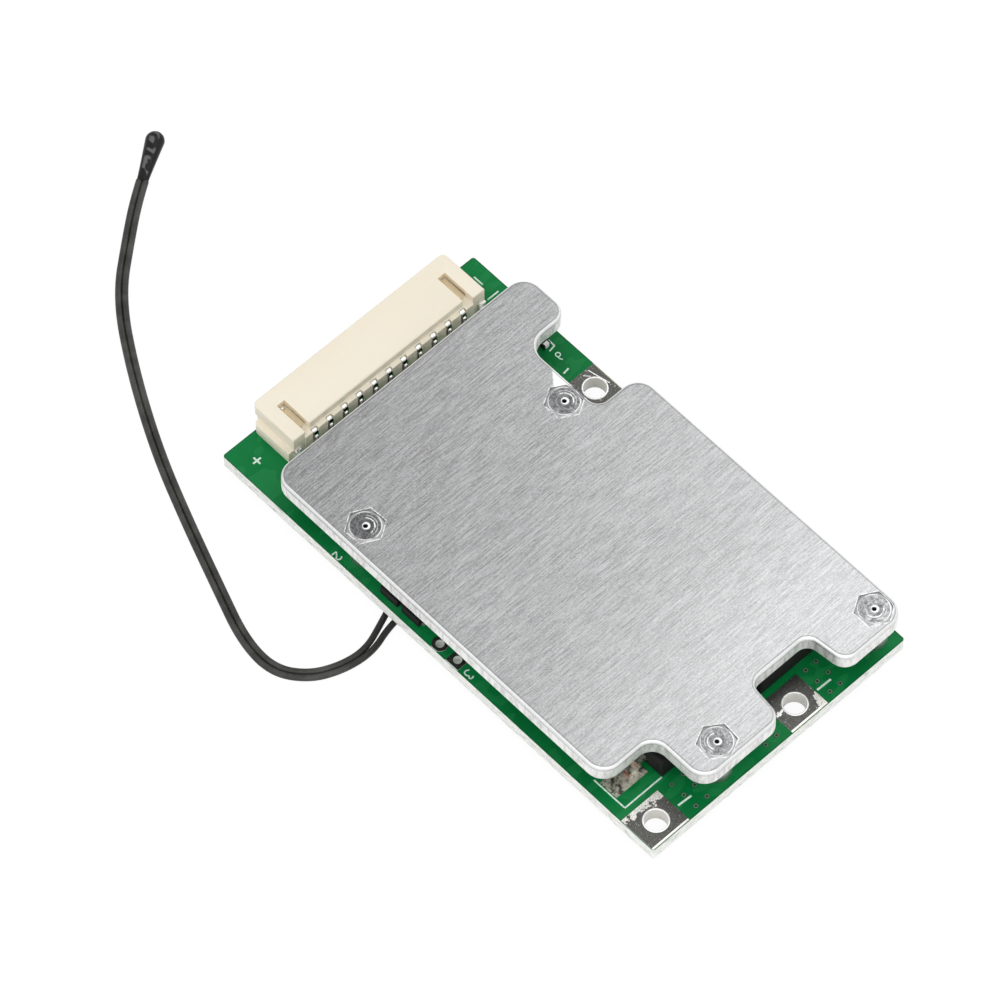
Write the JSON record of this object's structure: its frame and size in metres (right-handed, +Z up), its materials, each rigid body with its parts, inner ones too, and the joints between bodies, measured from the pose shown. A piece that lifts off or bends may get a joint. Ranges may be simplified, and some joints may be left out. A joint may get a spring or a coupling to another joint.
{
  "type": "battery management board",
  "caption": "Battery protection circuit board with a notched aluminium heat spreader, side-entry header, wire terminals and a thermistor lead.",
  "frame": {"origin": "the middle of the outline of board and overhanging header, on the surface that the screw heads stand on", "axes": "+Y along the board towards the header, +Z up out of the heat spreader, +X to the right"},
  "size_m": [0.0466, 0.0953, 0.0083],
  "materials": {
    "green_laminate": "glossy solder mask",
    "brushed_aluminium": "brushed",
    "standoff_steel": "turned",
    "screw_zinc": "plated",
    "cream_nylon": "moulded",
    "tin_plate": "tinned",
    "solder": "satin",
    "black_moulding": "matt moulded",
    "grey_silicone": "matt",
    "resistor_black": "satin",
    "capacitor_ceramic": "satin",
    "wire_black": "satin",
    "bead_epoxy": "glossy"
  },
  "bodies": {
    "root": {"balance_resistor_ends": "tin_plate", "balance_resistors": "resistor_black", "board_screw_header_left": "screw_zinc", "board_screw_header_right": "screw_zinc", "board_screw_rear_left": "screw_zinc", "board_screw_rear_right": "screw_zinc", "chip_capacitor": "capacitor_ceramic", "chip_capacitor_ends": "tin_plate", "circuit_board": "green_laminate", "connector_housing": "cream_nylon", "contact_01": "tin_plate", "contact_02": "tin_plate", "contact_03": "tin_plate", "contact_04": "tin_plate", "contact_05": "tin_plate", "contact_06": "tin_plate", "contact_07": "tin_plate", "contact_08": "tin_plate", "contact_09": "tin_plate", "contact_10": "tin_plate", "contact_11": "tin_plate", "heatsink_plate": "brushed_aluminium", "hold_down_left": "tin_plate", "hold_down_right": "tin_plate", "lead_solder": "solder", "lead_wire_inner": "wire_black", "lead_wire_outer": "wire_black", "protection_chip": "black_moulding", "protection_chip_leads": "tin_plate", "sense_diode_leads": "tin_plate", "sense_diodes": "black_moulding", "shunt_resistor_ends": "tin_plate", "shunt_resistors": "resistor_black", "spare_pads": "tin_plate", "standoff_header_left": "standoff_steel", "standoff_header_right": "standoff_steel", "standoff_rear_left": "standoff_steel", "standoff_rear_right": "standoff_steel", "terminal_b": "tin_plate", "terminal_c": "tin_plate", "terminal_p": "tin_plate", "thermal_pad": "grey_silicone", "thermistor_bead": "bead_epoxy", "transistor_1_body": "black_moulding", "transistor_1_leads": "tin_plate", "transistor_2_body": "black_moulding", "transistor_2_leads": "tin_plate", "transistor_3_body": "black_moulding", "transistor_3_leads": "tin_plate", "transistor_4_body": "black_moulding", "transistor_4_leads": "tin_plate", "transistor_lands": "tin_plate"}
  },
  "joints": []
}
